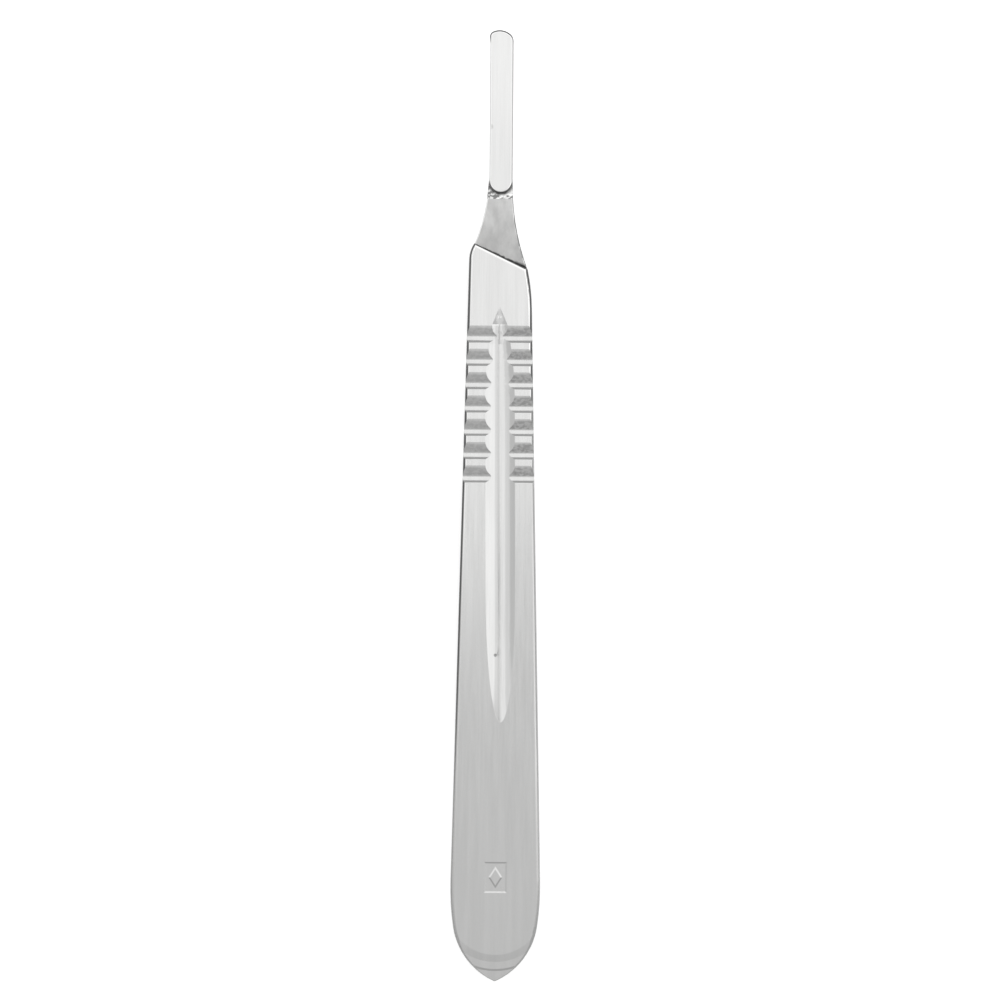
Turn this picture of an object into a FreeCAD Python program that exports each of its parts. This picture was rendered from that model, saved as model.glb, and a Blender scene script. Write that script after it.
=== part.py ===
import FreeCAD, Part
import math
import os

from FreeCAD import Vector

# Scalpel handle of the large fitting size, forged and milled from one flat piece of stainless steel.
# It lies on its back: X runs across it, +Y towards the blade fitting and +Z out of the front face.
# Sizes are in millimetres and angles in degrees. Stations along the handle are measured from
# the butt point or from the tip of the fitting, as their names say.

# Body plate
LENGTH = 135.0
THICKNESS = 3.0
NECK_WIDTH = 8.78
BUTT_WIDTH = 12.76
EDGE_ROUND = 0.5

# Pointed butt: each flank is two arcs in line with each other
BUTT_POINT_SLOPE = 23.6
BUTT_POINT_ROUND = 0.4
BUTT_FLANK_RADIUS = 10.15
BUTT_SIDE_RADIUS = 39.7

# Hand dressing that thins the faces towards the butt point, as radius and depth of its steps
DRESSING_CENTRE_FROM_BUTT = 10.7
DRESSING_STEPS = ((6.9, 0.0), (7.9, 0.045), (8.9, 0.055), (9.2, 0.1), (10.8, 0.125))

# Slanted shoulder that the heel of the blade meets
SHOULDER_FROM_TIP = 32.07
SHOULDER_SLANT = 25.7
SHOULDER_LEFT_REACH = 3.7
SHOULDER_RIGHT_REACH = 3.92
SHOULDER_EDGE_ROUND = 0.25
LEFT_CORNER_EASE_LENGTH = 2.2
RIGHT_CORNER_EASE_LENGTH = 5.5

# Shank and fitting: a back plate, a web between the side slots, and a lip over the slots
PLATE_BACK_HEIGHT = 0.9
PLATE_THICKNESS = 1.0
PLATE_EDGE_ROUND = 0.2
TONGUE_WIDTH = 3.4
WEB_WIDTH = 2.5
SLOT_HEIGHT = 0.5
LIP_THICKNESS = 0.45
LIP_LENGTH = 23.14
LIP_EDGE_ROUND = 0.3
TIP_NOSE_RADIUS = 2.3
TIP_NOSE_OFFSET = 0.3
LEFT_TIP_CORNER_RADIUS = 0.8
RIGHT_TIP_CORNER_RADIUS = 1.5
LEFT_FLARE_FROM_TIP = 20.2
RIGHT_FLARE_FROM_TIP = 21.8
RELIEF_DEPTH = 0.08
RELIEF_FROM_TIP = 23.9

# Finger grip: notches cut straight across both faces
NOTCH_COUNT = 7
NOTCH_PITCH = 3.31
NOTCH_DEPTH = 0.36
NOTCH_ENTRY_SLOPE = 3.0
NOTCH_RAMP_SLOPE = 23.0
NOTCH_ROOT_RADIUS = 1.1
NOTCH_LIP_RADIUS = 0.35
GRIP_FROM_SHOULDER = 9.87

# Fuller: the long hollow down the middle of both faces. Its upper end is a lancet point, given as
# distance from the tip, half width and depth of its sections. Its lower end runs out on an arc.
FULLER_WIDTH = 4.2
FULLER_DEPTH = 0.55
FULLER_LEAN = 0.55
FULLER_START_FROM_SHOULDER = 7.3
FULLER_END_FROM_BUTT = 36.8
FULLER_LANCET_SECTIONS = ((2.4, 1.06, 0.29), (5.2, 1.52, 0.46), (8.8, 1.93, 0.53))
FULLER_LANCET_LENGTH = 12.6
FULLER_LANCET_LEAD = 0.3
FULLER_RUN_OUT_LENGTH = 19.0

# Tiny pit in the floor of the front fuller, a flaw of the forging
PIT_X = -0.2
PIT_FROM_BUTT = 46.3
PIT_DEPTH = 0.47
PIT_SIDE_SLOPE = 35.0
PIT_FLOOR_RADIUS = 0.05

# Shallow panel near the butt with a plain raised lozenge
PANEL_WIDTH = 3.26
PANEL_LENGTH = 4.4
PANEL_FROM_BUTT = 14.79
PANEL_DEPTH = 0.12
PANEL_WALL_SLOPE = 28.0
LOZENGE_WIDTH = 2.0
LOZENGE_LENGTH = 3.1
LOZENGE_HEIGHT = 0.1
LOZENGE_TOP_SHARE = 0.72

# Cutters reach this far past what they cut, and a rounded edge meets its face at this slope
OVERCUT = 1.0
EXIT_SLOPE = 8.0
# How near two heights must lie for an edge to count as lying at a height
MATCH = 1e-4

SHOULDER_Y = LENGTH - SHOULDER_FROM_TIP
PLATE_FRONT_HEIGHT = PLATE_BACK_HEIGHT + PLATE_THICKNESS
RELIEF_HEIGHT = PLATE_FRONT_HEIGHT - RELIEF_DEPTH
SLOT_TOP_HEIGHT = PLATE_FRONT_HEIGHT + SLOT_HEIGHT
LIP_TOP_HEIGHT = SLOT_TOP_HEIGHT + LIP_THICKNESS


def sin(angle):
    return math.sin(math.radians(angle))


def cos(angle):
    return math.cos(math.radians(angle))


def tan(angle):
    return math.tan(math.radians(angle))


def line(start, end):
    return Part.LineSegment(start, end).toShape()


def arc(start, middle, end):
    return Part.Arc(start, middle, end).toShape()


def on_circle(centre, radius, angle):
    return centre + Vector(cos(angle), sin(angle), 0) * radius


def circle_arc(centre, radius, first_angle, last_angle):
    middle_angle = (first_angle + last_angle) / 2
    return arc(*[on_circle(centre, radius, angle) for angle in (first_angle, middle_angle, last_angle)])


def leaving_arc(start, heading, end):
    """Arc that leaves the start in line with the heading and runs to the end."""
    chord = end - start
    towards_middle = (Vector(heading).normalize() + Vector(chord).normalize()).normalize()
    middle = start + towards_middle * (chord.Length ** 2 / 2 / towards_middle.dot(chord))
    return arc(start, middle, end)


def angle_of(vector):
    return math.degrees(math.atan2(vector.y, vector.x))


def mirrored_x(point):
    return Vector(-point.x, point.y, point.z)


def plate(edges, bottom, top):
    """Solid between two heights with the closed outline that the edges give at height zero."""
    face = Part.Face(Part.Wire(edges))
    face.translate(Vector(0, 0, bottom))
    return face.extrude(Vector(0, 0, top - bottom))


def on_both_faces(cutter):
    """The cutter for the front face and its mirror image for the back face."""
    middle = Vector(0, 0, THICKNESS / 2)
    return [cutter, cutter.mirror(middle, Vector(0, 0, 1))]


def shoulder_point(x):
    return Vector(x, SHOULDER_Y - x * tan(SHOULDER_SLANT), 0)


def flank_edges(corner, ease_length):
    """Right-hand outline of the body from just beyond a shoulder corner to the butt point."""
    set_back = BUTT_POINT_ROUND * (1 / cos(BUTT_POINT_SLOPE) - 1)
    point_angle = BUTT_POINT_SLOPE - 90
    flank_centre = on_circle(Vector(0, -set_back, 0), -BUTT_FLANK_RADIUS, point_angle)
    between = BUTT_SIDE_RADIUS - BUTT_FLANK_RADIUS
    side_centre_x = BUTT_WIDTH / 2 - BUTT_SIDE_RADIUS
    rise = math.sqrt(between ** 2 - (flank_centre.x - side_centre_x) ** 2)
    side_centre = Vector(side_centre_x, flank_centre.y + rise, 0)
    blend_angle = angle_of(flank_centre - side_centre)
    to_neck = Vector(NECK_WIDTH / 2, SHOULDER_Y, 0) - side_centre
    side_angle = angle_of(to_neck) - math.degrees(math.acos(BUTT_SIDE_RADIUS / to_neck.Length))
    side_end = on_circle(side_centre, BUTT_SIDE_RADIUS, side_angle)
    upwards = Vector(-sin(side_angle), cos(side_angle), 0)
    side_start = side_end + upwards * ((corner.y - ease_length - side_end.y) / upwards.y)
    inwards = on_circle(Vector(), -1, side_angle)
    to_corner = corner - side_start
    ease_radius = to_corner.Length ** 2 / 2 / to_corner.dot(inwards)
    ease_centre = side_start + inwards * ease_radius
    ease_angle = angle_of(corner - ease_centre) + math.degrees(OVERCUT / 2 / ease_radius)
    return [
        circle_arc(ease_centre, ease_radius, ease_angle, side_angle),
        line(side_start, side_end),
        circle_arc(side_centre, BUTT_SIDE_RADIUS, side_angle, blend_angle),
        circle_arc(flank_centre, BUTT_FLANK_RADIUS, blend_angle, point_angle),
    ]


def lies_at(edge, height):
    return all(abs(vertex.Z - height) < MATCH for vertex in edge.Vertexes)


def shoulder_cutter():
    """Takes the body off beyond the slanted shoulder and rounds the two edges that this leaves."""
    radius = SHOULDER_EDGE_ROUND
    top_centre = Vector(0, -radius, THICKNESS - radius * cos(EXIT_SLOPE))

    def on_top_round(angle):
        return top_centre + Vector(0, sin(angle), cos(angle)) * radius

    way_out = on_top_round(EXIT_SLOPE) + Vector(0, -1, tan(EXIT_SLOPE)) * OVERCUT
    corner = Vector(0, way_out.y, THICKNESS + OVERCUT)
    end_corner = Vector(0, 2 * OVERCUT, THICKNESS + OVERCUT)
    half_round = (90 + EXIT_SLOPE) / 2
    upper = [
        line(end_corner, corner),
        line(corner, way_out),
        line(way_out, on_top_round(EXIT_SLOPE)),
        arc(on_top_round(EXIT_SLOPE), on_top_round(half_round), on_top_round(90)),
        line(on_top_round(90), Vector(0, 0, THICKNESS / 2)),
    ]
    middle = Vector(0, 0, THICKNESS / 2)
    lower = [edge.mirror(middle, Vector(0, 0, 1)) for edge in upper[::-1]]
    end = line(Vector(0, end_corner.y, -OVERCUT), end_corner)
    cutter = Part.Face(Part.Wire(upper + lower + [end])).extrude(Vector(2 * NECK_WIDTH, 0, 0))
    cutter.translate(Vector(-NECK_WIDTH, 0, 0))
    cutter.rotate(Vector(), Vector(0, 0, 1), -SHOULDER_SLANT)
    cutter.translate(shoulder_point(0))
    return cutter


def body_plate():
    """The flat body with its pointed butt, rounded long edges and slanted front end."""
    left_corner = mirrored_x(shoulder_point(-SHOULDER_LEFT_REACH))
    left_edges = flank_edges(left_corner, LEFT_CORNER_EASE_LENGTH)
    left_edges = [edge.mirror(Vector(), Vector(1, 0, 0)) for edge in left_edges]
    right_edges = flank_edges(shoulder_point(SHOULDER_RIGHT_REACH), RIGHT_CORNER_EASE_LENGTH)
    end = line(left_edges[0].Vertexes[0].Point, right_edges[0].Vertexes[0].Point)
    body = plate([end] + right_edges + left_edges[::-1], 0, THICKNESS)
    uprights = [edge for edge in body.Edges if edge.BoundBox.YLength < MATCH]
    point_edge = min(uprights, key=lambda edge: edge.CenterOfMass.y)
    body = body.makeFillet(BUTT_POINT_ROUND, [point_edge])
    rims = [edge for edge in body.Edges if lies_at(edge, 0) or lies_at(edge, THICKNESS)]
    end_y = end.CenterOfMass.y
    long_rims = [edge for edge in rims if abs(edge.CenterOfMass.y - end_y) > MATCH]
    body = body.makeFillet(EDGE_ROUND, long_rims)
    return body.cut(shoulder_cutter())


def tip_corner(nose_centre, side_x, radius):
    """Centre of a corner round of the tongue's tip, and where it runs into the nose."""
    corner_x = side_x - math.copysign(radius, side_x)
    rise = math.sqrt((TIP_NOSE_RADIUS - radius) ** 2 - (corner_x - nose_centre.x) ** 2)
    corner_centre = Vector(corner_x, nose_centre.y + rise, 0)
    return corner_centre, angle_of(corner_centre - nose_centre)


def tongue_nose():
    """Rounded tip of the tongue, from its left side to its right side."""
    half = TONGUE_WIDTH / 2
    nose_centre = Vector(-TIP_NOSE_OFFSET, LENGTH - TIP_NOSE_RADIUS, 0)
    left_centre, left_angle = tip_corner(nose_centre, -half, LEFT_TIP_CORNER_RADIUS)
    right_centre, right_angle = tip_corner(nose_centre, half, RIGHT_TIP_CORNER_RADIUS)
    return [
        circle_arc(left_centre, LEFT_TIP_CORNER_RADIUS, 180, left_angle),
        circle_arc(nose_centre, TIP_NOSE_RADIUS, left_angle, right_angle),
        circle_arc(right_centre, RIGHT_TIP_CORNER_RADIUS, right_angle, 0),
    ]


def shank_plate():
    """Back plate of the fitting: it flares from the tongue out to the shoulder's corners."""
    half = TONGUE_WIDTH / 2
    backwards = Vector(0, -1, 0)
    left_corner = shoulder_point(-SHOULDER_LEFT_REACH)
    right_corner = shoulder_point(SHOULDER_RIGHT_REACH)
    left_side = Vector(-half, LENGTH - LEFT_FLARE_FROM_TIP, 0)
    right_side = Vector(half, LENGTH - RIGHT_FLARE_FROM_TIP, 0)
    nose = tongue_nose()
    nose_start = nose[0].Vertexes[0].Point
    nose_end = nose[-1].Vertexes[-1].Point
    root = right_corner.y - LEFT_CORNER_EASE_LENGTH
    left_root = Vector(left_corner.x, root, 0)
    right_root = Vector(right_corner.x, root, 0)
    edges = [leaving_arc(left_side, backwards, left_corner), line(left_side, nose_start)] + nose
    edges += [line(nose_end, right_side), leaving_arc(right_side, backwards, right_corner)]
    edges += [line(right_corner, right_root), line(right_root, left_root), line(left_root, left_corner)]
    shank = plate(edges, PLATE_BACK_HEIGHT, PLATE_FRONT_HEIGHT)
    rims = [edge for edge in shank.Edges if edge.BoundBox.ZLength < MATCH]
    free_rims = [edge for edge in rims if edge.BoundBox.YMax > root + MATCH]
    shank = shank.makeFillet(PLATE_EDGE_ROUND, free_rims)
    relief_start = LENGTH - RELIEF_FROM_TIP
    relief = Part.makeBox(
        TONGUE_WIDTH + 2 * OVERCUT,
        RELIEF_FROM_TIP + OVERCUT,
        RELIEF_DEPTH + OVERCUT,
        Vector(-half - OVERCUT, relief_start, RELIEF_HEIGHT),
    )
    return shank.cut(relief)


def lip_and_web():
    """Raised lip of the fitting on its web, with a slot along each side for the blade's edges."""
    half = TONGUE_WIDTH / 2
    nose = tongue_nose()
    nose_start = nose[0].Vertexes[0].Point
    nose_end = nose[-1].Vertexes[-1].Point
    heel = Vector(0, LENGTH - LIP_LENGTH, 0)
    left_heel = heel + Vector(-half, half, 0)
    right_heel = heel + Vector(half, half, 0)
    edges = [line(left_heel, nose_start)] + nose
    edges += [line(nose_end, right_heel), arc(right_heel, heel, left_heel)]
    foot = (PLATE_BACK_HEIGHT + RELIEF_HEIGHT) / 2
    lip = plate(edges, foot, LIP_TOP_HEIGHT)
    lip = lip.makeFillet(LIP_EDGE_ROUND, [edge for edge in lip.Edges if lies_at(edge, LIP_TOP_HEIGHT)])
    slot = Part.makeBox(
        half,
        LIP_LENGTH + 2 * OVERCUT,
        SLOT_TOP_HEIGHT - foot,
        Vector(WEB_WIDTH / 2, heel.y - OVERCUT, foot),
    )
    other_slot = slot.mirror(Vector(), Vector(1, 0, 0))
    return lip.cut([slot, other_slot])


def notch_cutter(start):
    """Prism across the handle for one notch: a long bowed ramp, a round root and a rounded wall."""
    ramp_drop = NOTCH_DEPTH - NOTCH_ROOT_RADIUS * (1 - cos(NOTCH_RAMP_SLOPE))
    ramp_radius = ramp_drop / (cos(NOTCH_ENTRY_SLOPE) - cos(NOTCH_RAMP_SLOPE))
    ramp_length = ramp_radius * (sin(NOTCH_RAMP_SLOPE) - sin(NOTCH_ENTRY_SLOPE))
    root_centre_along = ramp_length + NOTCH_ROOT_RADIUS * sin(NOTCH_RAMP_SLOPE)
    root_centre_depth = NOTCH_DEPTH - NOTCH_ROOT_RADIUS
    lip_centre_depth = NOTCH_LIP_RADIUS * cos(EXIT_SLOPE)
    centre_distance = NOTCH_ROOT_RADIUS + NOTCH_LIP_RADIUS
    wall_slope = math.degrees(math.acos((lip_centre_depth - root_centre_depth) / centre_distance))
    lip_centre_along = root_centre_along + centre_distance * sin(wall_slope)

    def at(along, depth):
        return Vector(-BUTT_WIDTH, start - along, THICKNESS - depth)

    def on_ramp(angle):
        along = ramp_radius * (sin(angle) - sin(NOTCH_ENTRY_SLOPE))
        return at(along, ramp_radius * (cos(NOTCH_ENTRY_SLOPE) - cos(angle)))

    def on_root(angle):
        along = root_centre_along + NOTCH_ROOT_RADIUS * sin(angle)
        return at(along, root_centre_depth + NOTCH_ROOT_RADIUS * cos(angle))

    def on_lip(angle):
        along = lip_centre_along - NOTCH_LIP_RADIUS * sin(angle)
        return at(along, lip_centre_depth - NOTCH_LIP_RADIUS * cos(angle))

    entry = at(-OVERCUT, -OVERCUT * tan(NOTCH_ENTRY_SLOPE))
    ramp_middle = on_ramp((NOTCH_ENTRY_SLOPE + NOTCH_RAMP_SLOPE) / 2)
    lip_end = on_lip(EXIT_SLOPE)
    exit_along = lip_centre_along + OVERCUT
    exit_rise = (exit_along - (start - lip_end.y)) * tan(EXIT_SLOPE)
    way_out = at(exit_along, -exit_rise)
    edges = [
        line(entry, at(0, 0)),
        arc(at(0, 0), ramp_middle, on_root(-NOTCH_RAMP_SLOPE)),
        arc(on_root(-NOTCH_RAMP_SLOPE), on_root(0), on_root(wall_slope)),
        arc(on_root(wall_slope), on_lip((wall_slope + EXIT_SLOPE) / 2), lip_end),
        line(lip_end, way_out),
        line(way_out, at(exit_along, -OVERCUT)),
        line(at(exit_along, -OVERCUT), at(-OVERCUT, -OVERCUT)),
        line(at(-OVERCUT, -OVERCUT), entry),
    ]
    face = Part.Face(Part.Wire(edges))
    return face.extrude(Vector(2 * BUTT_WIDTH, 0, 0))


def fuller_section(y, half_width, depth):
    """Section of the fuller's cutter: an arc that is carried on above the face and then closed."""
    radius = (half_width ** 2 + depth ** 2) / (2 * depth)
    floor = Vector(0, y, THICKNESS - depth)
    reach = min(2 * math.degrees(math.asin(half_width / radius)), 90)
    side = Vector(radius * sin(reach), 0, radius * (1 - cos(reach)))
    left = floor + mirrored_x(side)
    right = floor + side
    return Part.Wire([arc(left, floor, right), line(right, left)])


def fuller_cutters():
    """Middle, lower run-out and upper lancet point of the long hollow in the front face."""
    start = SHOULDER_Y - FULLER_START_FROM_SHOULDER
    lancet_end = start - FULLER_LANCET_LENGTH
    run_out_start = FULLER_END_FROM_BUTT + FULLER_RUN_OUT_LENGTH
    half = FULLER_WIDTH / 2
    middle = Part.Face(fuller_section(run_out_start, half, FULLER_DEPTH))
    floor_radius = (FULLER_RUN_OUT_LENGTH ** 2 + FULLER_DEPTH ** 2) / (2 * FULLER_DEPTH)
    axis_point = Vector(0, run_out_start, THICKNESS - FULLER_DEPTH + floor_radius)
    turn = math.degrees(math.asin((FULLER_RUN_OUT_LENGTH + OVERCUT) / floor_radius))
    run_out = middle.revolve(axis_point, Vector(1, 0, 0), -turn)
    groove = middle.extrude(Vector(0, lancet_end - run_out_start, 0))
    first_distance, first_half, first_depth = FULLER_LANCET_SECTIONS[0]
    lead_rise = FULLER_LANCET_LEAD * first_depth / first_distance
    sections = [Part.Vertex(Vector(0, start + FULLER_LANCET_LEAD, THICKNESS + lead_rise))]
    for distance, half_width, depth in FULLER_LANCET_SECTIONS:
        sections.append(fuller_section(start - distance, half_width, depth))
    sections.append(fuller_section(lancet_end, half, FULLER_DEPTH))
    lancet = Part.makeLoft(sections, True, True)
    cutters = [groove, run_out, lancet]
    for cutter in cutters:
        cutter.rotate(Vector(0, start, 0), Vector(0, 0, 1), FULLER_LEAN)
    return cutters


def pit_cutter():
    """Cone that widens upwards from a little below the floor of the fuller."""
    floor_centre = Vector(PIT_X, PIT_FROM_BUTT, THICKNESS - PIT_DEPTH)
    top_radius = PIT_FLOOR_RADIUS + PIT_DEPTH / tan(PIT_SIDE_SLOPE)
    return Part.makeCone(PIT_FLOOR_RADIUS, top_radius, PIT_DEPTH, floor_centre)


def dressing_cutter():
    """Half ring that takes the soft steps off the face round the butt point."""
    first_radius = DRESSING_STEPS[0][0]
    last_radius = DRESSING_STEPS[-1][0]
    profile = [Vector(radius, 0, THICKNESS - depth) for radius, depth in DRESSING_STEPS]
    first_slope = (DRESSING_STEPS[1][1] - DRESSING_STEPS[0][1]) / (DRESSING_STEPS[1][0] - first_radius)
    profile[0] = Vector(first_radius - OVERCUT, 0, THICKNESS + OVERCUT * first_slope)
    profile.append(Vector(last_radius, 0, THICKNESS + OVERCUT))
    profile.append(Vector(first_radius - OVERCUT, 0, THICKNESS + OVERCUT))
    profile.append(profile[0])
    ring = Part.Face(Part.makePolygon(profile))
    ring = ring.revolve(Vector(), Vector(0, 0, 1), -180)
    ring.translate(Vector(0, DRESSING_CENTRE_FROM_BUTT, 0))
    return ring


def frustum(base, top_share, bottom, top):
    """Solid between two heights with sloped sides. Its top is the base outline scaled to that share."""
    middle = sum(base, Vector()) / len(base)
    lower = [Vector(point.x, point.y, bottom) for point in base]
    upper = [middle + (point - middle) * top_share for point in base]
    upper = [Vector(point.x, point.y, top) for point in upper]
    return Part.makeLoft([Part.makePolygon(each + each[:1]) for each in (lower, upper)], True, True)


def panel_cutter():
    """Shallow recess with sloped walls that leaves a plain flat lozenge standing in it."""
    floor = THICKNESS - PANEL_DEPTH
    way_out = THICKNESS + OVERCUT
    outlines = []
    for height in (floor, way_out):
        spread = (height - THICKNESS) / tan(PANEL_WALL_SLOPE)
        x = PANEL_WIDTH / 2 + spread
        y = PANEL_LENGTH / 2 + spread
        outline = [Vector(x, y), Vector(-x, y), Vector(-x, -y), Vector(x, -y), Vector(x, y)]
        middle = Vector(0, PANEL_FROM_BUTT, height)
        outlines.append([middle + corner for corner in outline])
    recess = Part.makeLoft([Part.makePolygon(outline) for outline in outlines], True, True)
    base = [
        Vector(LOZENGE_WIDTH / 2, PANEL_FROM_BUTT, 0),
        Vector(0, PANEL_FROM_BUTT + LOZENGE_LENGTH / 2, 0),
        Vector(-LOZENGE_WIDTH / 2, PANEL_FROM_BUTT, 0),
        Vector(0, PANEL_FROM_BUTT - LOZENGE_LENGTH / 2, 0),
    ]
    return recess.cut(frustum(base, LOZENGE_TOP_SHARE, floor, floor + LOZENGE_HEIGHT))


def scalpel_handle():
    handle = body_plate().fuse([shank_plate(), lip_and_web()]).removeSplitter()
    grip_start = SHOULDER_Y - GRIP_FROM_SHOULDER
    cutters = on_both_faces(dressing_cutter())
    for cutter in fuller_cutters():
        cutters += on_both_faces(cutter)
    for index in range(NOTCH_COUNT):
        cutters += on_both_faces(notch_cutter(grip_start - index * NOTCH_PITCH))
    cutters += [pit_cutter(), panel_cutter()]
    for cutter in cutters:
        handle = handle.cut(cutter)
    handle.translate(Vector(0, -LENGTH / 2, 0))
    return handle.Solids[0]


os.makedirs("parts", exist_ok=True)
handle = scalpel_handle()
handle.exportStep("parts/scalpel_handle.step")
print("volume", round(handle.Volume, 1), "valid", handle.isValid(), "faces", len(handle.Faces))
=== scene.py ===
import math

import bmesh
import bpy
from bpy.props import FloatProperty, FloatVectorProperty, PointerProperty
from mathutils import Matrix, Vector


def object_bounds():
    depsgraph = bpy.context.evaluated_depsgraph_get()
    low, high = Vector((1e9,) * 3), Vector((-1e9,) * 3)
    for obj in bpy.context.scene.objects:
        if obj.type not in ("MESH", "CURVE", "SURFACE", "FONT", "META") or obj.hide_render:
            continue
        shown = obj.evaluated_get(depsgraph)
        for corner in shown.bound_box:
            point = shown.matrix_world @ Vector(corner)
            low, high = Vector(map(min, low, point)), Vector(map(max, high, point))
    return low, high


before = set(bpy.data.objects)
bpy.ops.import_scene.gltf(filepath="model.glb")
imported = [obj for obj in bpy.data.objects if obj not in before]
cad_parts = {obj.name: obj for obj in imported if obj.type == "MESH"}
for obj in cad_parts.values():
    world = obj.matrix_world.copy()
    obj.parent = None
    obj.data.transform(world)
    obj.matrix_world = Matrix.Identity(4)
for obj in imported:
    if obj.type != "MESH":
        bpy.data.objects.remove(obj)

bl_info = {
    "name": "Scalpel handle",
    "version": (1, 0, 0),
    "blender": (4, 5, 0),
    "location": "View3D > Sidebar > Scalpel handle",
    "description": "Dresses the scalpel handle's solid in brushed steel and sets it in a small studio",
    "category": "Object",
}

HANDLE_NODE = "scalpel_handle"
CAD_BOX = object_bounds()
MM = 0.001

# Forms of the handle that its finish follows, in millimetres. Y runs from the butt to the fitting's tip,
# with 0 at half the length, and Z is the height over the back face
HALF_THICKNESS = (CAD_BOX[1].z - CAD_BOX[0].z) / 2 / MM
SHOULDER_Y = 35.43
SHOULDER_SLOPE = math.tan(math.radians(25.7))
RELIEF_Y = 43.6
SHANK_STRETCH = (30.0, RELIEF_Y)
NOTCHED_STRETCH = (1.8, 26.0)
HOLLOW_STRETCH = (-31.5, 28.3)
HOLLOW_HALF_WIDTH = 3.0
HOLLOW_LEAN = 0.0068
HOLLOW_MIDDLE_X = -0.19
LANCET_STRETCH = (25.6, 29.0)
HEEL_CENTRE = (0.0, 46.06, 0.0)
HEEL_RADIUS = 1.7
FRONT_LEVEL = (1.5, 1.7)
PLATE_LEVEL = (2.1, 2.3)
STAIN_CENTRE = (-1.53, 53.78, 0.0)
STAIN_REACH = (0.25, 0.5)

# Stretches of Y over which the finish, the painted shade and the painted highlights change, in millimetres
BUTT_FADE = (-46.0, -26.0)
# The walls' painted shade turns lighter over these stretches
LIGHT_WALL_FADE = (-46.0, -20.0)
LIGHT_RIGHT_WALL_FADE = (4.0, 24.0)
PALE_ROUND_FADE = (-61.0, -52.0)
RIM_SHADE_FADE = (-20.0, 6.0)
FLOOR_LINE_FADE = (-33.0, -22.0)
HOLLOW_END_FADE = (-32.0, -23.0)
HOLLOW_TIP_FADE = (-30.5, -27.0)
SHANK_FADE = (37.0, 42.5)
HEEL_GAP_FADE = (45.6, 46.2)
HEEL_FADE = (45.6, 46.4)
TONGUE_FADE = (46.0, 60.0)
TIP_CAP_FADE = (65.0, 65.4)
TIP_FADE = (65.6, 66.6)

# How far the handle's edges lean, from 0 on a face to 1 on a side wall
RIM_START = (0.04, 0.14)
RIM_END = (0.3, 0.46)
NARROW_RIM_START = (0.1, 0.3)
TIP_CAP_LEAN = (0.18, 0.45)
WALL_LEAN = (0.32, 0.6)
BUTT_WALL_DELAY = 0.2
ROUND_END = (0.88, 0.98)
# The ramps of the notches lean towards the butt
RAMP_LEAN = (-0.2, -0.06)

# Sizes of the steel's marks along X, Y and Z, in millimetres
SOFT_LINE_SIZE = (0.9, 14.0, 0.9)
SPOT_SIZE = (0.55, 0.42, 0.55)
BLOTCH_SIZE = (1.5, 2.6, 1.5)
GRAIN_SIZE = (0.25, 0.4, 0.25)

# How bright the steel is in places, as a share of the face colour. Besides the brushing lines and the
# fitting, these are painted shade and painted reflection
SOFT_LINE_SHARE = 0.955
FLOOR_LINE_SHARE = 0.8
FLOOR_LINE_END_SHARE = 0.7
HOLLOW_LEFT_END_SHARE = 0.87
HOLLOW_TIP_SHARE = 0.69
RAMP_SHARE = 0.72
TONGUE_HEEL_SHARE = 0.98
TONGUE_TIP_SHARE = 1.07
TONGUE_RIGHT_SIDE_SHARE = 0.8
RIM_SHADE_SHARE = 0.85
PALE_ROUND_SHARE = 0.68
# Lighter painted shade on the walls
LIGHT_WALL_SHADE_SHARE = 0.42

# Nearly all of a noise texture lies between these two values
NOISE_SPREAD = (0.3, 0.7)
# Half the width of a mask's sharp edge, in millimetres
MASK_EDGE = 0.02
BLACK = (0.0, 0.0, 0.0)


# Settings

class SteelSettings(bpy.types.PropertyGroup):
    """Colours and finish of the handle's steel, with the colours of its painted shade and highlights."""

    face_colour: FloatVectorProperty(
        name="Face colour",
        description="Steel of the brushed faces",
        subtype="COLOR",
        default=(0.72, 0.72, 0.715),
        min=0.0,
        max=1.0,
    )
    shank_colour: FloatVectorProperty(
        name="Shank colour",
        description="Matte steel of the thin shank between the fitting and the body",
        subtype="COLOR",
        default=(0.585, 0.585, 0.58),
        min=0.0,
        max=1.0,
    )
    # Painted shade: the side walls are painted dark to stand in for the dark surroundings that they reflect
    wall_shade_colour: FloatVectorProperty(
        name="Side wall colour",
        description="Darker steel of the narrow side walls, which the brushing didn't reach",
        subtype="COLOR",
        default=(0.11, 0.11, 0.11),
        min=0.0,
        max=1.0,
    )
    # Painted highlight: this bright colour on the edges' rounds, the lancet, the fitting's left edge and the
    # specks at the lip's heel stands in for light they reflect
    painted_highlight_colour: FloatVectorProperty(
        name="Edge colour",
        description="Polished steel where the faces begin to round over",
        subtype="COLOR",
        default=(0.95, 0.95, 0.945),
        min=0.0,
        max=1.0,
    )
    # Painted shade in the foot of the shoulder, round the lip's heel and on the tip, and also the colour of
    # the fitting's small stain
    stain_and_shade_colour: FloatVectorProperty(
        name="Dirt colour",
        description="Dark residue in the foot of the shoulder and round the heel of the lip",
        subtype="COLOR",
        default=(0.04, 0.04, 0.04),
        min=0.0,
        max=1.0,
    )
    face_roughness: FloatProperty(
        name="Face roughness",
        description="Mean roughness of the brushed faces",
        default=0.16,
        min=0.0,
        max=1.0,
    )
    shank_roughness: FloatProperty(
        name="Shank roughness",
        description="Mean roughness of the matte shank",
        default=0.45,
        min=0.0,
        max=1.0,
    )
    line_spacing: FloatProperty(
        name="Line spacing",
        description="Mean distance between the brushing lines",
        subtype="DISTANCE",
        unit="LENGTH",
        default=0.16 * MM,
        min=0.01 * MM,
        max=2 * MM,
    )
    line_length: FloatProperty(
        name="Line length",
        description="Mean length of the brushing lines along the handle",
        subtype="DISTANCE",
        unit="LENGTH",
        default=7 * MM,
        min=0.1 * MM,
        max=50 * MM,
    )


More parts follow.
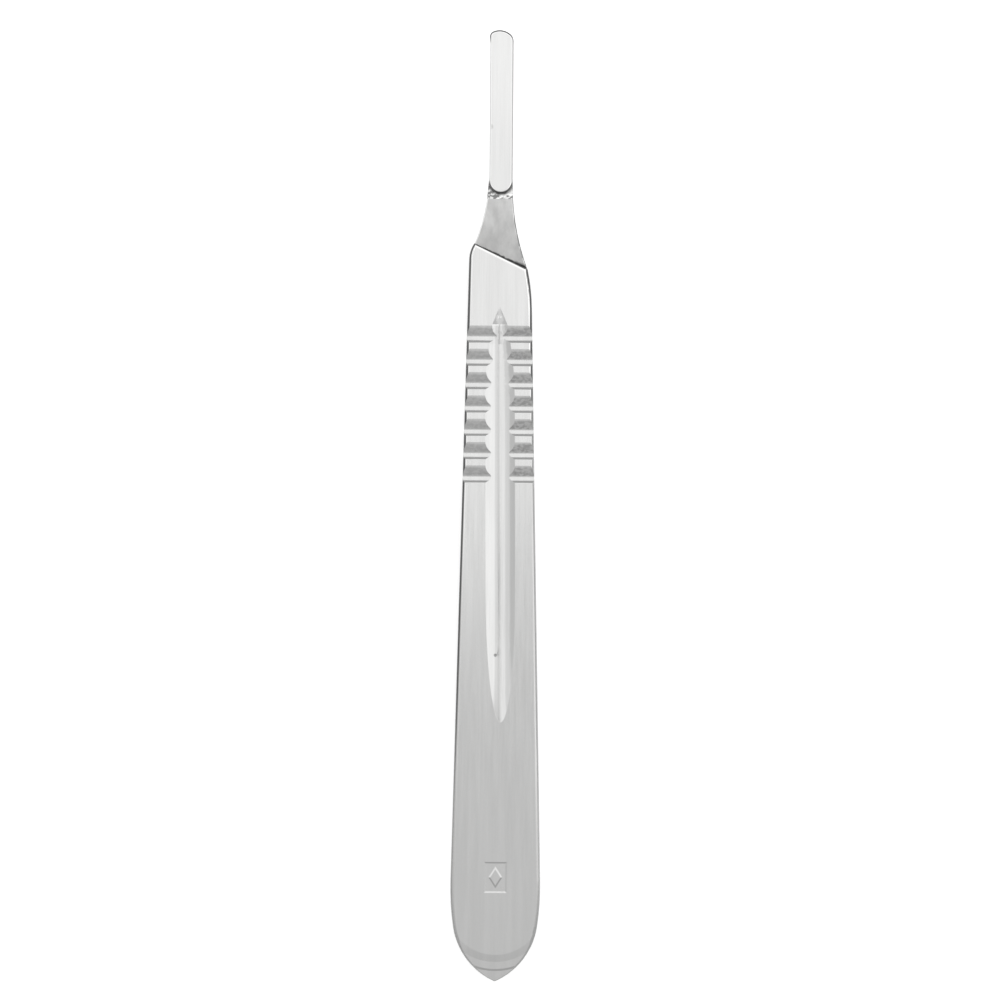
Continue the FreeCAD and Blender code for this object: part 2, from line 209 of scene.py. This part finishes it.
class StudioSettings(bpy.types.PropertyGroup):
    """Camera, floor and lamps."""

    camera_height: FloatProperty(
        name="Camera height",
        description="Height of the camera above the floor",
        subtype="DISTANCE",
        unit="LENGTH",
        default=0.5,
        min=0.1,
        max=5.0,
    )
    view_width: FloatProperty(
        name="View width",
        description="Width of what the camera sees at the handle's front face",
        subtype="DISTANCE",
        unit="LENGTH",
        default=141.8 * MM,
        min=10 * MM,
        max=2.0,
    )
    camera_roll: FloatProperty(
        name="Camera roll",
        description="Turn of the camera about its line of sight",
        subtype="ANGLE",
        unit="ROTATION",
        default=math.radians(0.45),
        min=-math.pi,
        max=math.pi,
    )
    floor_size: FloatProperty(
        name="Floor size",
        description="Side of the square floor",
        subtype="DISTANCE",
        unit="LENGTH",
        default=6.0,
        min=0.5,
        max=50.0,
    )
    world_strength: FloatProperty(
        name="World strength",
        description="Strength of the even light from all round",
        default=0.47,
        min=0.0,
        max=5.0,
    )


# Node trees

def add_node(tree, kind, **values):
    """Adds a node of that kind. Plain names set its properties, and input_NAME sets a socket."""
    node = tree.nodes.new(kind)
    for name, value in values.items():
        if name.startswith("input_"):
            node.inputs[name[6:].replace("_", " ")].default_value = value
        else:
            setattr(node, name, value)
    return node


def feed(tree, value, socket):
    """Links a socket to the input, or sets the input to a plain value."""
    if isinstance(value, bpy.types.NodeSocket):
        tree.links.new(value, socket)
    else:
        socket.default_value = value


def maths(tree, operation, first, second=None):
    """A Math node. Its operands are sockets or numbers."""
    node = add_node(tree, "ShaderNodeMath", operation=operation)
    feed(tree, first, node.inputs[0])
    if second is not None:
        feed(tree, second, node.inputs[1])
    return node.outputs[0]


def remap(tree, value, source, target=(0.0, 1.0), smooth=True):
    """A clamped Map Range node from one pair of numbers to another, as a soft step or a straight line."""
    node = add_node(tree, "ShaderNodeMapRange", clamp=True)
    node.interpolation_type = "SMOOTHSTEP" if smooth else "LINEAR"
    tree.links.new(value, node.inputs["Value"])
    for name, number in zip(("From Min", "From Max", "To Min", "To Max"), (*source, *target)):
        node.inputs[name].default_value = number
    return node.outputs["Result"]


def mix_colours(tree, factor, first, second):
    """A Mix node for two colours, each a socket or plain numbers."""
    node = add_node(tree, "ShaderNodeMix", data_type="RGBA")
    tree.links.new(factor, node.inputs[0])
    for colour, socket in ((first, node.inputs[6]), (second, node.inputs[7])):
        feed(tree, colour if isinstance(colour, bpy.types.NodeSocket) else (*colour, 1.0), socket)
    return node.outputs[2]


def mix_numbers(tree, factor, first, second):
    """A Mix node for two numbers, each a socket or a plain number."""
    node = add_node(tree, "ShaderNodeMix", data_type="FLOAT")
    tree.links.new(factor, node.inputs[0])
    feed(tree, first, node.inputs[2])
    feed(tree, second, node.inputs[3])
    return node.outputs[0]


def scale_colour(tree, factor, colour):
    """A plain colour times a socket, which may pass 1."""
    scaled = mix_colours(tree, factor, BLACK, colour)
    scaled.node.clamp_factor = False
    return scaled


def share_of(colour, share):
    """A plain colour times a number."""
    return [share * part for part in colour]


def split(tree, vector):
    """The X, Y and Z of a vector."""
    node = add_node(tree, "ShaderNodeSeparateXYZ")
    tree.links.new(vector, node.inputs[0])
    return node.outputs


def noise(tree, place, size, detail=2.0):
    """Noise on a place in millimetres, with features of that size along X, Y and Z."""
    mapping = add_node(tree, "ShaderNodeMapping", input_Scale=[1 / length for length in size])
    tree.links.new(place, mapping.inputs["Vector"])
    texture = add_node(tree, "ShaderNodeTexNoise", input_Scale=1.0, input_Detail=detail)
    tree.links.new(mapping.outputs["Vector"], texture.inputs["Vector"])
    return texture.outputs["Fac"]


def distance(tree, place, centre):
    """Distance of a place from a fixed centre."""
    node = add_node(tree, "ShaderNodeVectorMath", operation="DISTANCE")
    tree.links.new(place, node.inputs[0])
    node.inputs[1].default_value = centre
    return node.outputs["Value"]


# Masks

def fade_in(tree, value, stretch):
    """0 before the stretch, 1 after it, and a soft step on it."""
    return remap(tree, value, stretch)


def fade_out(tree, value, stretch):
    """1 before the stretch, 0 after it, and a soft step on it."""
    return remap(tree, value, stretch, (1.0, 0.0))


def step(tree, value, stretch):
    """0 before the stretch, 1 after it, and a straight line on it."""
    return remap(tree, value, stretch, smooth=False)


def around(line, edge=MASK_EDGE):
    """The stretch that a mask's edge takes up on both sides of a line."""
    return line - edge, line + edge


def band(tree, value, stretch, edge=MASK_EDGE):
    """1 on the stretch and 0 outside it, with short edges."""
    above = step(tree, value, around(stretch[0], edge))
    below = remap(tree, value, around(stretch[1], edge), (1.0, 0.0), smooth=False)
    return product(tree, above, below)


def product(tree, *factors):
    """The factors multiplied. The first is a socket, and the others are sockets or numbers."""
    result = factors[0]
    for factor in factors[1:]:
        result = maths(tree, "MULTIPLY", result, factor)
    return result


def either(tree, *masks):
    """The larger of the masks."""
    largest = masks[0]
    for mask in masks[1:]:
        largest = maths(tree, "MAXIMUM", largest, mask)
    return largest


def without(tree, mask, hole):
    """The mask where the hole's mask is 0."""
    return product(tree, mask, maths(tree, "SUBTRACT", 1.0, hole))


# The handle's steel

class Point:
    """A point of the handle's surface: its place in millimetres, its lean and masks of what it lies on."""

    def __init__(self, tree):
        coordinates = add_node(tree, "ShaderNodeTexCoord")
        to_millimetres = add_node(tree, "ShaderNodeMapping", input_Scale=(1 / MM, 1 / MM, 1 / MM))
        tree.links.new(coordinates.outputs["Object"], to_millimetres.inputs["Vector"])
        self.place = to_millimetres.outputs["Vector"]
        self.x, self.y, z = split(tree, self.place)
        flattened = add_node(tree, "ShaderNodeCombineXYZ")
        tree.links.new(self.x, flattened.inputs["X"])
        tree.links.new(self.y, flattened.inputs["Y"])
        self.flat_place = flattened.outputs["Vector"]
        from_middle = maths(tree, "ABSOLUTE", maths(tree, "SUBTRACT", z, HALF_THICKNESS))
        self.depth = maths(tree, "SUBTRACT", HALF_THICKNESS, from_middle)

        # Distance beyond the slanted shoulder, towards the fitting
        slant = maths(tree, "MULTIPLY", self.x, SHOULDER_SLOPE)
        self.beyond = maths(tree, "SUBTRACT", maths(tree, "ADD", self.y, slant), SHOULDER_Y)

        self.shank = product(tree, step(tree, self.beyond, around(0.0)), band(tree, self.y, SHANK_STRETCH))
        self.left_shank = product(tree, self.shank, fade_out(tree, self.x, around(0.0, 0.5)))
        self.fitting = step(tree, self.y, around(RELIEF_Y))
        self.beside_hollow = step(tree, maths(tree, "ABSOLUTE", self.x), around(HOLLOW_HALF_WIDTH, 0.05))
        self.hollow = without(tree, band(tree, self.y, HOLLOW_STRETCH), self.beside_hollow)
        self.notched = band(tree, self.y, NOTCHED_STRETCH)
        self.front = step(tree, z, FRONT_LEVEL)
        self.right_half = step(tree, self.x, around(0.0, 0.2))
        self.right_below = product(tree, self.right_half, fade_out(tree, self.y, LIGHT_RIGHT_WALL_FADE))

        # The gap between the heel of the lip and the shank, on the front of the fitting's back plate
        below_lip = remap(tree, z, PLATE_LEVEL, (1.0, 0.0), smooth=False)
        below_heel = fade_out(tree, self.y, HEEL_GAP_FADE)
        self.heel_gap = product(tree, self.fitting, self.front, below_lip, below_heel)

        # How far the surface leans outwards. The walls across the notches don't count
        across, self.towards_tip, _ = split(tree, coordinates.outputs["Normal"])
        self.along = maths(tree, "ABSOLUTE", self.towards_tip)
        across_square = product(tree, across, across)
        along_square = without(tree, product(tree, self.along, self.along), self.notched)
        self.outwards = maths(tree, "SQRT", maths(tree, "ADD", across_square, along_square))


def wall_mask(tree, point):
    """The side walls, which are painted dark as shade, without the hollow's and the left one of the shank,
    which is as bright as its face.
    """
    delay = product(tree, fade_out(tree, point.y, BUTT_FADE), BUTT_WALL_DELAY)
    wall = fade_in(tree, maths(tree, "SUBTRACT", point.outwards, delay), WALL_LEAN)
    return without(tree, without(tree, wall, point.hollow), point.left_shank)


def rim_highlight_mask(tree, point):
    """The strips where the faces begin to round over, also along the shoulder and left of the shank, which
    get a painted highlight.
    """
    rim = product(tree, step(tree, point.outwards, RIM_START), fade_out(tree, point.outwards, RIM_END))
    rim = without(tree, rim, point.hollow)
    shank_rim = product(tree, point.left_shank, step(tree, point.outwards, NARROW_RIM_START))
    shoulder_rim = without(tree, band(tree, point.beyond, (-0.42, -0.02), 0.1), point.shank)
    return either(tree, rim, shank_rim, shoulder_rim)


def tongue_side_mask(tree, point):
    """The two long edges of the fitting, without its heel and its tip."""
    ends = either(tree, step(tree, point.y, TIP_FADE), fade_out(tree, point.y, HEEL_FADE))
    return without(tree, product(tree, point.fitting, step(tree, point.outwards, NARROW_RIM_START)), ends)


def painted_shade_mask(tree, point, wall, spots):
    """Painted shade in the foot of the shoulder, wider to the right, round the lip's heel and on the tip."""
    reach = maths(
        tree,
        "ADD",
        remap(tree, point.x, (-3.7, 2.6), (0.12, 0.45), smooth=False),
        remap(tree, point.x, (2.0, 3.9), (0.0, 0.25)),
    )
    reach = product(tree, reach, remap(tree, spots, NOISE_SPREAD, (0.75, 1.25)))
    far = maths(tree, "MINIMUM", maths(tree, "DIVIDE", point.beyond, reach), 1.0)
    near = product(tree, maths(tree, "SUBTRACT", 1.0, far), 1.6)
    foot = product(tree, step(tree, point.beyond, around(0.0, 0.01)), point.shank)
    foot = product(tree, without(tree, foot, wall), maths(tree, "MINIMUM", near, 1.0))
    from_heel = maths(tree, "SUBTRACT", distance(tree, point.flat_place, HEEL_CENTRE), HEEL_RADIUS)
    heel = product(
        tree,
        point.heel_gap,
        remap(tree, from_heel, (0.08, 0.42), (0.9, 0.0)),
        remap(tree, spots, (0.3, 0.6), (1.0, 0.7)),
    )
    tip_cap = product(tree, step(tree, point.y, TIP_CAP_FADE), step(tree, point.along, TIP_CAP_LEAN))
    return either(tree, foot, heel, tip_cap)


def colour_hollow(tree, point, face, settings):
    """A line of painted shade along the hollow's floor, and more painted shade over its lower end."""
    leant = product(tree, point.y, HOLLOW_LEAN)
    from_line = maths(tree, "SUBTRACT", maths(tree, "ADD", point.x, leant), HOLLOW_MIDDLE_X)
    sunk = product(tree, point.hollow, step(tree, point.depth, (0.0005, 0.008)))
    end = fade_out(tree, point.y, HOLLOW_END_FADE)
    left_end = product(tree, end, sunk, fade_out(tree, from_line, (-0.3, 0.0)))
    tip = fade_out(tree, point.y, HOLLOW_TIP_FADE)
    tip = product(tree, tip, fade_out(tree, from_line, (0.12, 0.4)), sunk)
    width = remap(tree, point.y, FLOOR_LINE_FADE, (0.75, 0.45))
    offset = maths(tree, "DIVIDE", maths(tree, "ABSOLUTE", from_line), width)
    line = product(tree, fade_out(tree, offset, (0.27, 1.0)), sunk)
    # The painted shade of the floor line grows darker towards the hollow's lower end
    line_colour = mix_colours(
        tree,
        end,
        share_of(settings.face_colour, FLOOR_LINE_SHARE),
        share_of(settings.face_colour, FLOOR_LINE_END_SHARE),
    )
    face = mix_colours(tree, left_end, face, share_of(settings.face_colour, HOLLOW_LEFT_END_SHARE))
    face = mix_colours(tree, line, face, line_colour)
    return mix_colours(tree, tip, face, share_of(settings.face_colour, HOLLOW_TIP_SHARE))


def colour_grip(tree, point, face, spots, settings):
    """The lancet at the hollow's upper end gets a painted highlight, and the ramps of the notches get
    painted shade, broken up into spots.
    """
    lancet = without(tree, band(tree, point.y, LANCET_STRETCH, 0.1), point.beside_hollow)
    lancet = product(tree, lancet, step(tree, point.depth, (0.002, 0.012)))
    face = mix_colours(tree, product(tree, lancet, 0.6), face, settings.painted_highlight_colour)
    # Painted shade on the ramps, which lean towards the butt
    ramp = without(tree, product(tree, point.notched, fade_out(tree, point.towards_tip, RAMP_LEAN)), lancet)
    ramp = product(tree, ramp, remap(tree, point.x, around(0.0, 1.5), (0.45, 1.0)))
    ramp = product(tree, ramp, remap(tree, spots, (0.35, 0.65), (1.0, 0.1)))
    return mix_colours(tree, ramp, face, share_of(settings.face_colour, RAMP_SHARE))


def colour_tongue(tree, point, soft_lines, settings):
    """The fitting is brighter than the body, more so towards its tip, and has one small stain."""
    brightness = maths(
        tree,
        "ADD",
        remap(tree, soft_lines, NOISE_SPREAD, (0.0, 0.45)),
        remap(tree, point.y, TONGUE_FADE, (0.0, 0.55)),
    )
    tongue = mix_colours(
        tree,
        brightness,
        share_of(settings.face_colour, TONGUE_HEEL_SHARE),
        share_of(settings.face_colour, TONGUE_TIP_SHARE),
    )
    stain = remap(tree, distance(tree, point.flat_place, STAIN_CENTRE), STAIN_REACH, (0.2, 0.0))
    return mix_colours(tree, product(tree, stain, point.front), tongue, settings.stain_and_shade_colour)


def colour_shank(tree, point, blotches, settings):
    """The shank is matte and mottled, and a little brighter towards the fitting."""
    mottle = product(
        tree,
        remap(tree, blotches, (0.25, 0.75), (0.8, 1.16)),
        remap(tree, point.y, SHANK_FADE, (0.93, 1.07)),
    )
    return scale_colour(tree, mottle, settings.shank_colour)


def colour_edges(tree, point, wall, colour, settings):
    """Painted highlights on the rims, a painted highlight and painted shade along the fitting's two edges,
    and painted shade on the walls, lighter towards the butt.
    """
    # The rims' painted highlight turns to painted shade towards the butt and on the right below the middle
    rim_shaded = either(tree, fade_out(tree, point.y, RIM_SHADE_FADE), point.right_below)
    rim_shade = share_of(settings.face_colour, RIM_SHADE_SHARE)
    rim_light_and_shade = mix_colours(tree, rim_shaded, settings.painted_highlight_colour, rim_shade)
    colour = mix_colours(tree, rim_highlight_mask(tree, point), colour, rim_light_and_shade)
    # Painted highlight on the fitting's left edge and painted shade on its right edge
    tongue_side = tongue_side_mask(tree, point)
    right_side = product(tree, tongue_side, point.right_half)
    colour = mix_colours(tree, without(tree, tongue_side, right_side), colour, settings.painted_highlight_colour)
    right_edge_shade = share_of(settings.face_colour, TONGUE_RIGHT_SIDE_SHARE)
    colour = mix_colours(tree, right_side, colour, right_edge_shade)

    # The right edge's round is painted paler than the wall below it, as far as the butt: a painted
    # reflection over the wall's painted shade
    pale_round = product(
        tree,
        point.right_below,
        fade_out(tree, point.outwards, ROUND_END),
        fade_in(tree, point.y, PALE_ROUND_FADE),
    )
    light_wall_shade = mix_colours(
        tree,
        pale_round,
        share_of(settings.face_colour, LIGHT_WALL_SHADE_SHARE),
        share_of(settings.face_colour, PALE_ROUND_SHARE),
    )
    # The painted shade on the walls is lighter towards the butt, on the right below the middle and on the
    # shank
    butt_light_wall_shade = fade_out(tree, point.y, LIGHT_WALL_FADE)
    lighter_shade = either(tree, butt_light_wall_shade, product(tree, point.right_below, 0.9), point.shank)
    wall_shade_colour = mix_colours(tree, lighter_shade, settings.wall_shade_colour, light_wall_shade)
    return mix_colours(tree, without(tree, wall, tongue_side), colour, wall_shade_colour)


def paint_shade_and_glints(tree, point, wall, spots, colour, settings):
    """Painted shade, with painted glints and dark spots of painted shade in the gap at the lip's heel."""
    glints = product(tree, point.heel_gap, step(tree, spots, (0.6, 0.68)))
    colour = mix_colours(tree, glints, colour, settings.painted_highlight_colour)
    dark_spots = product(tree, point.heel_gap, fade_out(tree, spots, (0.42, 0.52)), 0.75)
    painted_shade = either(tree, painted_shade_mask(tree, point, wall, spots), dark_spots)
    return mix_colours(tree, painted_shade, colour, settings.stain_and_shade_colour)


def build_steel(settings):
    """Brushed steel with a matte shank, painted shade on the side walls and painted highlights on the edges
    between the two.
    """
    material = bpy.data.materials.new("brushed_steel")
    material.use_nodes = True
    tree = material.node_tree
    shader = tree.nodes["Principled BSDF"]
    shader.inputs["Metallic"].default_value = 1.0
    point = Point(tree)
    wall = wall_mask(tree, point)

    line_size = (settings.line_spacing / MM, settings.line_length / MM, settings.line_spacing / MM)
    lines = noise(tree, point.place, line_size)
    soft_lines = noise(tree, point.place, SOFT_LINE_SIZE)
    spots = noise(tree, point.place, SPOT_SIZE, 1.0)
    blotches = noise(tree, point.place, BLOTCH_SIZE, 4.0)
    grain = noise(tree, point.place, GRAIN_SIZE)

    brushed = fade_in(tree, soft_lines, NOISE_SPREAD)
    dull_line = share_of(settings.face_colour, SOFT_LINE_SHARE)
    face = mix_colours(tree, brushed, dull_line, settings.face_colour)
    face = colour_hollow(tree, point, face, settings)
    face = colour_grip(tree, point, face, spots, settings)
    face = mix_colours(tree, point.fitting, face, colour_tongue(tree, point, soft_lines, settings))
    colour = mix_colours(tree, point.shank, face, colour_shank(tree, point, blotches, settings))
    colour = colour_edges(tree, point, wall, colour, settings)
    colour = paint_shade_and_glints(tree, point, wall, spots, colour, settings)
    tree.links.new(colour, shader.inputs["Base Color"])

    face_range = (settings.face_roughness - 0.03, settings.face_roughness + 0.04)
    face_roughness = remap(tree, lines, NOISE_SPREAD, face_range)
    shank_roughness = remap(tree, blotches, NOISE_SPREAD, around(settings.shank_roughness, 0.06))
    roughness = mix_numbers(tree, point.shank, face_roughness, shank_roughness)
    roughness = mix_numbers(tree, wall, roughness, settings.face_roughness + 0.15)
    tree.links.new(roughness, shader.inputs["Roughness"])

    relief = mix_numbers(tree, point.shank, lines, grain)
    bump = add_node(tree, "ShaderNodeBump", input_Strength=0.12, input_Distance=0.01 * MM)
    tree.links.new(relief, bump.inputs["Height"])
    tree.links.new(bump.outputs["Normal"], shader.inputs["Normal"])
    return material


class SCALPEL_OT_handle(bpy.types.Operator):
    """Gives the handle's solid its steel"""

    bl_idname = "scalpel.handle"
    bl_label = "Forged handle"

    def execute(self, context):
        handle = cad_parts[HANDLE_NODE]
        if not handle.material_slots:
            raise RuntimeError("the handle's solid has no material slot")
        steel = build_steel(context.scene.scalpel_steel)
        for slot in handle.material_slots:
            slot.material = steel
        return {"FINISHED"}


# Studio

# The floor lies this far below the back face, so that the two don't share a plane
FLOOR_CLEARANCE = 0.02 * MM
FLOOR_PAINT = (0.85, 0.85, 0.85, 1.0)
FLOOR_GLOW = 0.6
CAMERA_PLACE = (0.24 * MM, 0.82 * MM)

# Flat softboxes on one level above the handle: name, edges in X, edges in Y and radiance
LAMP_LEVEL = 1.0
SOFTBOXES = (
    ("head_left_softbox", (-0.16, 0.0), (-0.055, 0.25), 0.68),
    ("head_right_softbox", (0.0, 0.16), (-0.012, 0.25), 0.66),
    ("far_head_softbox", (-1.4, 2.0), (0.25, 1.3), 0.65),
    ("right_softbox", (0.16, 2.6), (-0.165, 0.25), 0.76),
    ("left_softbox", (-0.34, -0.16), (-0.13, 0.25), 0.65),
    ("mid_left_softbox", (-0.75, -0.34), (-0.13, 0.25), 0.43),
    ("far_left_softbox", (-2.4, -0.75), (-0.13, 0.25), 0.21),
    ("foot_softbox", (-0.16, 0.16), (-0.165, -0.04), 0.235),
    ("left_foot_softbox", (-2.4, -0.16), (-0.165, -0.13), 0.235),
    ("wide_foot_softbox", (-2.4, 2.6), (-0.27, -0.165), 0.235),
    ("low_foot_softbox", (-2.4, 2.6), (-0.8, -0.27), 0.08),
)


def add_softbox(scene, name, across, along, radiance):
    """A rectangular lamp that faces down from the lamp level, between those edges."""
    lamp = bpy.data.lights.new(name, "AREA")
    lamp.shape = "RECTANGLE"
    lamp.size = across[1] - across[0]
    lamp.size_y = along[1] - along[0]
    lamp.energy = radiance * math.pi * lamp.size * lamp.size_y
    softbox = bpy.data.objects.new(name, lamp)
    softbox.location = (sum(across) / 2, sum(along) / 2, LAMP_LEVEL)
    scene.collection.objects.link(softbox)


def build_floor_material():
    """White floor that shows white to the camera and in the steel, and still takes the shadow."""
    material = bpy.data.materials.new("white_floor")
    material.use_nodes = True
    tree = material.node_tree
    output = tree.nodes["Material Output"]
    tree.nodes.remove(tree.nodes["Principled BSDF"])
    paint = add_node(tree, "ShaderNodeBsdfDiffuse", input_Color=FLOOR_PAINT)
    glow = add_node(tree, "ShaderNodeEmission", input_Strength=FLOOR_GLOW)
    shown = add_node(tree, "ShaderNodeAddShader")
    tree.links.new(paint.outputs[0], shown.inputs[0])
    tree.links.new(glow.outputs[0], shown.inputs[1])
    path = add_node(tree, "ShaderNodeLightPath").outputs
    seen = either(tree, path["Is Camera Ray"], path["Is Glossy Ray"], path["Is Transmission Ray"])
    mix = add_node(tree, "ShaderNodeMixShader")
    tree.links.new(seen, mix.inputs[0])
    tree.links.new(paint.outputs[0], mix.inputs[1])
    tree.links.new(shown.outputs[0], mix.inputs[2])
    tree.links.new(mix.outputs[0], output.inputs["Surface"])
    return material


def build_floor(scene, settings):
    """A square floor just below the handle."""
    mesh = bpy.data.meshes.new("floor")
    bm = bmesh.new()
    bmesh.ops.create_grid(bm, x_segments=1, y_segments=1, size=settings.floor_size / 2)
    bm.to_mesh(mesh)
    bm.free()
    mesh.materials.append(build_floor_material())
    floor = bpy.data.objects.new("floor", mesh)
    floor.location.z = CAD_BOX[0].z - FLOOR_CLEARANCE
    scene.collection.objects.link(floor)


def build_world(scene, settings):
    """Even white light from all round."""
    world = bpy.data.worlds.new("studio")
    world.use_nodes = True
    background = world.node_tree.nodes["Background"]
    background.inputs["Color"].default_value = (1.0, 1.0, 1.0, 1.0)
    background.inputs["Strength"].default_value = settings.world_strength
    scene.world = world


def build_camera(scene, settings):
    """A camera that looks straight down and sees the view width at the handle's front face."""
    camera = bpy.data.cameras.new("camera")
    camera.lens = camera.sensor_width * (settings.camera_height - CAD_BOX[1].z) / settings.view_width
    camera.clip_start = 0.01
    camera.clip_end = 20.0
    viewer = bpy.data.objects.new("camera", camera)
    viewer.location = (*CAMERA_PLACE, settings.camera_height)
    viewer.rotation_euler = (0.0, 0.0, settings.camera_roll)
    scene.collection.objects.link(viewer)
    scene.camera = viewer


class SCALPEL_OT_studio(bpy.types.Operator):
    """Sets up the floor, the lamps and the camera that looks straight down"""

    bl_idname = "scalpel.studio"
    bl_label = "Studio"

    def execute(self, context):
        scene = context.scene
        settings = scene.scalpel_studio
        build_floor(scene, settings)
        build_world(scene, settings)
        for softbox in SOFTBOXES:
            add_softbox(scene, *softbox)
        build_camera(scene, settings)
        scene.view_settings.view_transform = "Standard"
        return {"FINISHED"}


class SCALPEL_PT_panel(bpy.types.Panel):
    """Sidebar panel with the settings and the building steps"""

    bl_idname = "SCALPEL_PT_panel"
    bl_label = "Scalpel handle"
    bl_space_type = "VIEW_3D"
    bl_region_type = "UI"
    bl_category = "Scalpel handle"

    def draw(self, context):
        layout = self.layout
        scene = context.scene
        for settings in (scene.scalpel_steel, scene.scalpel_studio):
            box = layout.box()
            for name in settings.__annotations__:
                box.prop(settings, name)
        for operator in OPERATORS:
            layout.operator(operator.bl_idname)


OPERATORS = (SCALPEL_OT_handle, SCALPEL_OT_studio)
CLASSES = (SteelSettings, StudioSettings, *OPERATORS, SCALPEL_PT_panel)


def register():
    for each in CLASSES:
        bpy.utils.register_class(each)
    bpy.types.Scene.scalpel_steel = PointerProperty(type=SteelSettings)
    bpy.types.Scene.scalpel_studio = PointerProperty(type=StudioSettings)


def unregister():
    del bpy.types.Scene.scalpel_studio
    del bpy.types.Scene.scalpel_steel
    for each in reversed(CLASSES):
        bpy.utils.unregister_class(each)


def main():
    register()
    bpy.ops.scalpel.handle()
    bpy.ops.scalpel.studio()


if __name__ == "__main__":
    main()
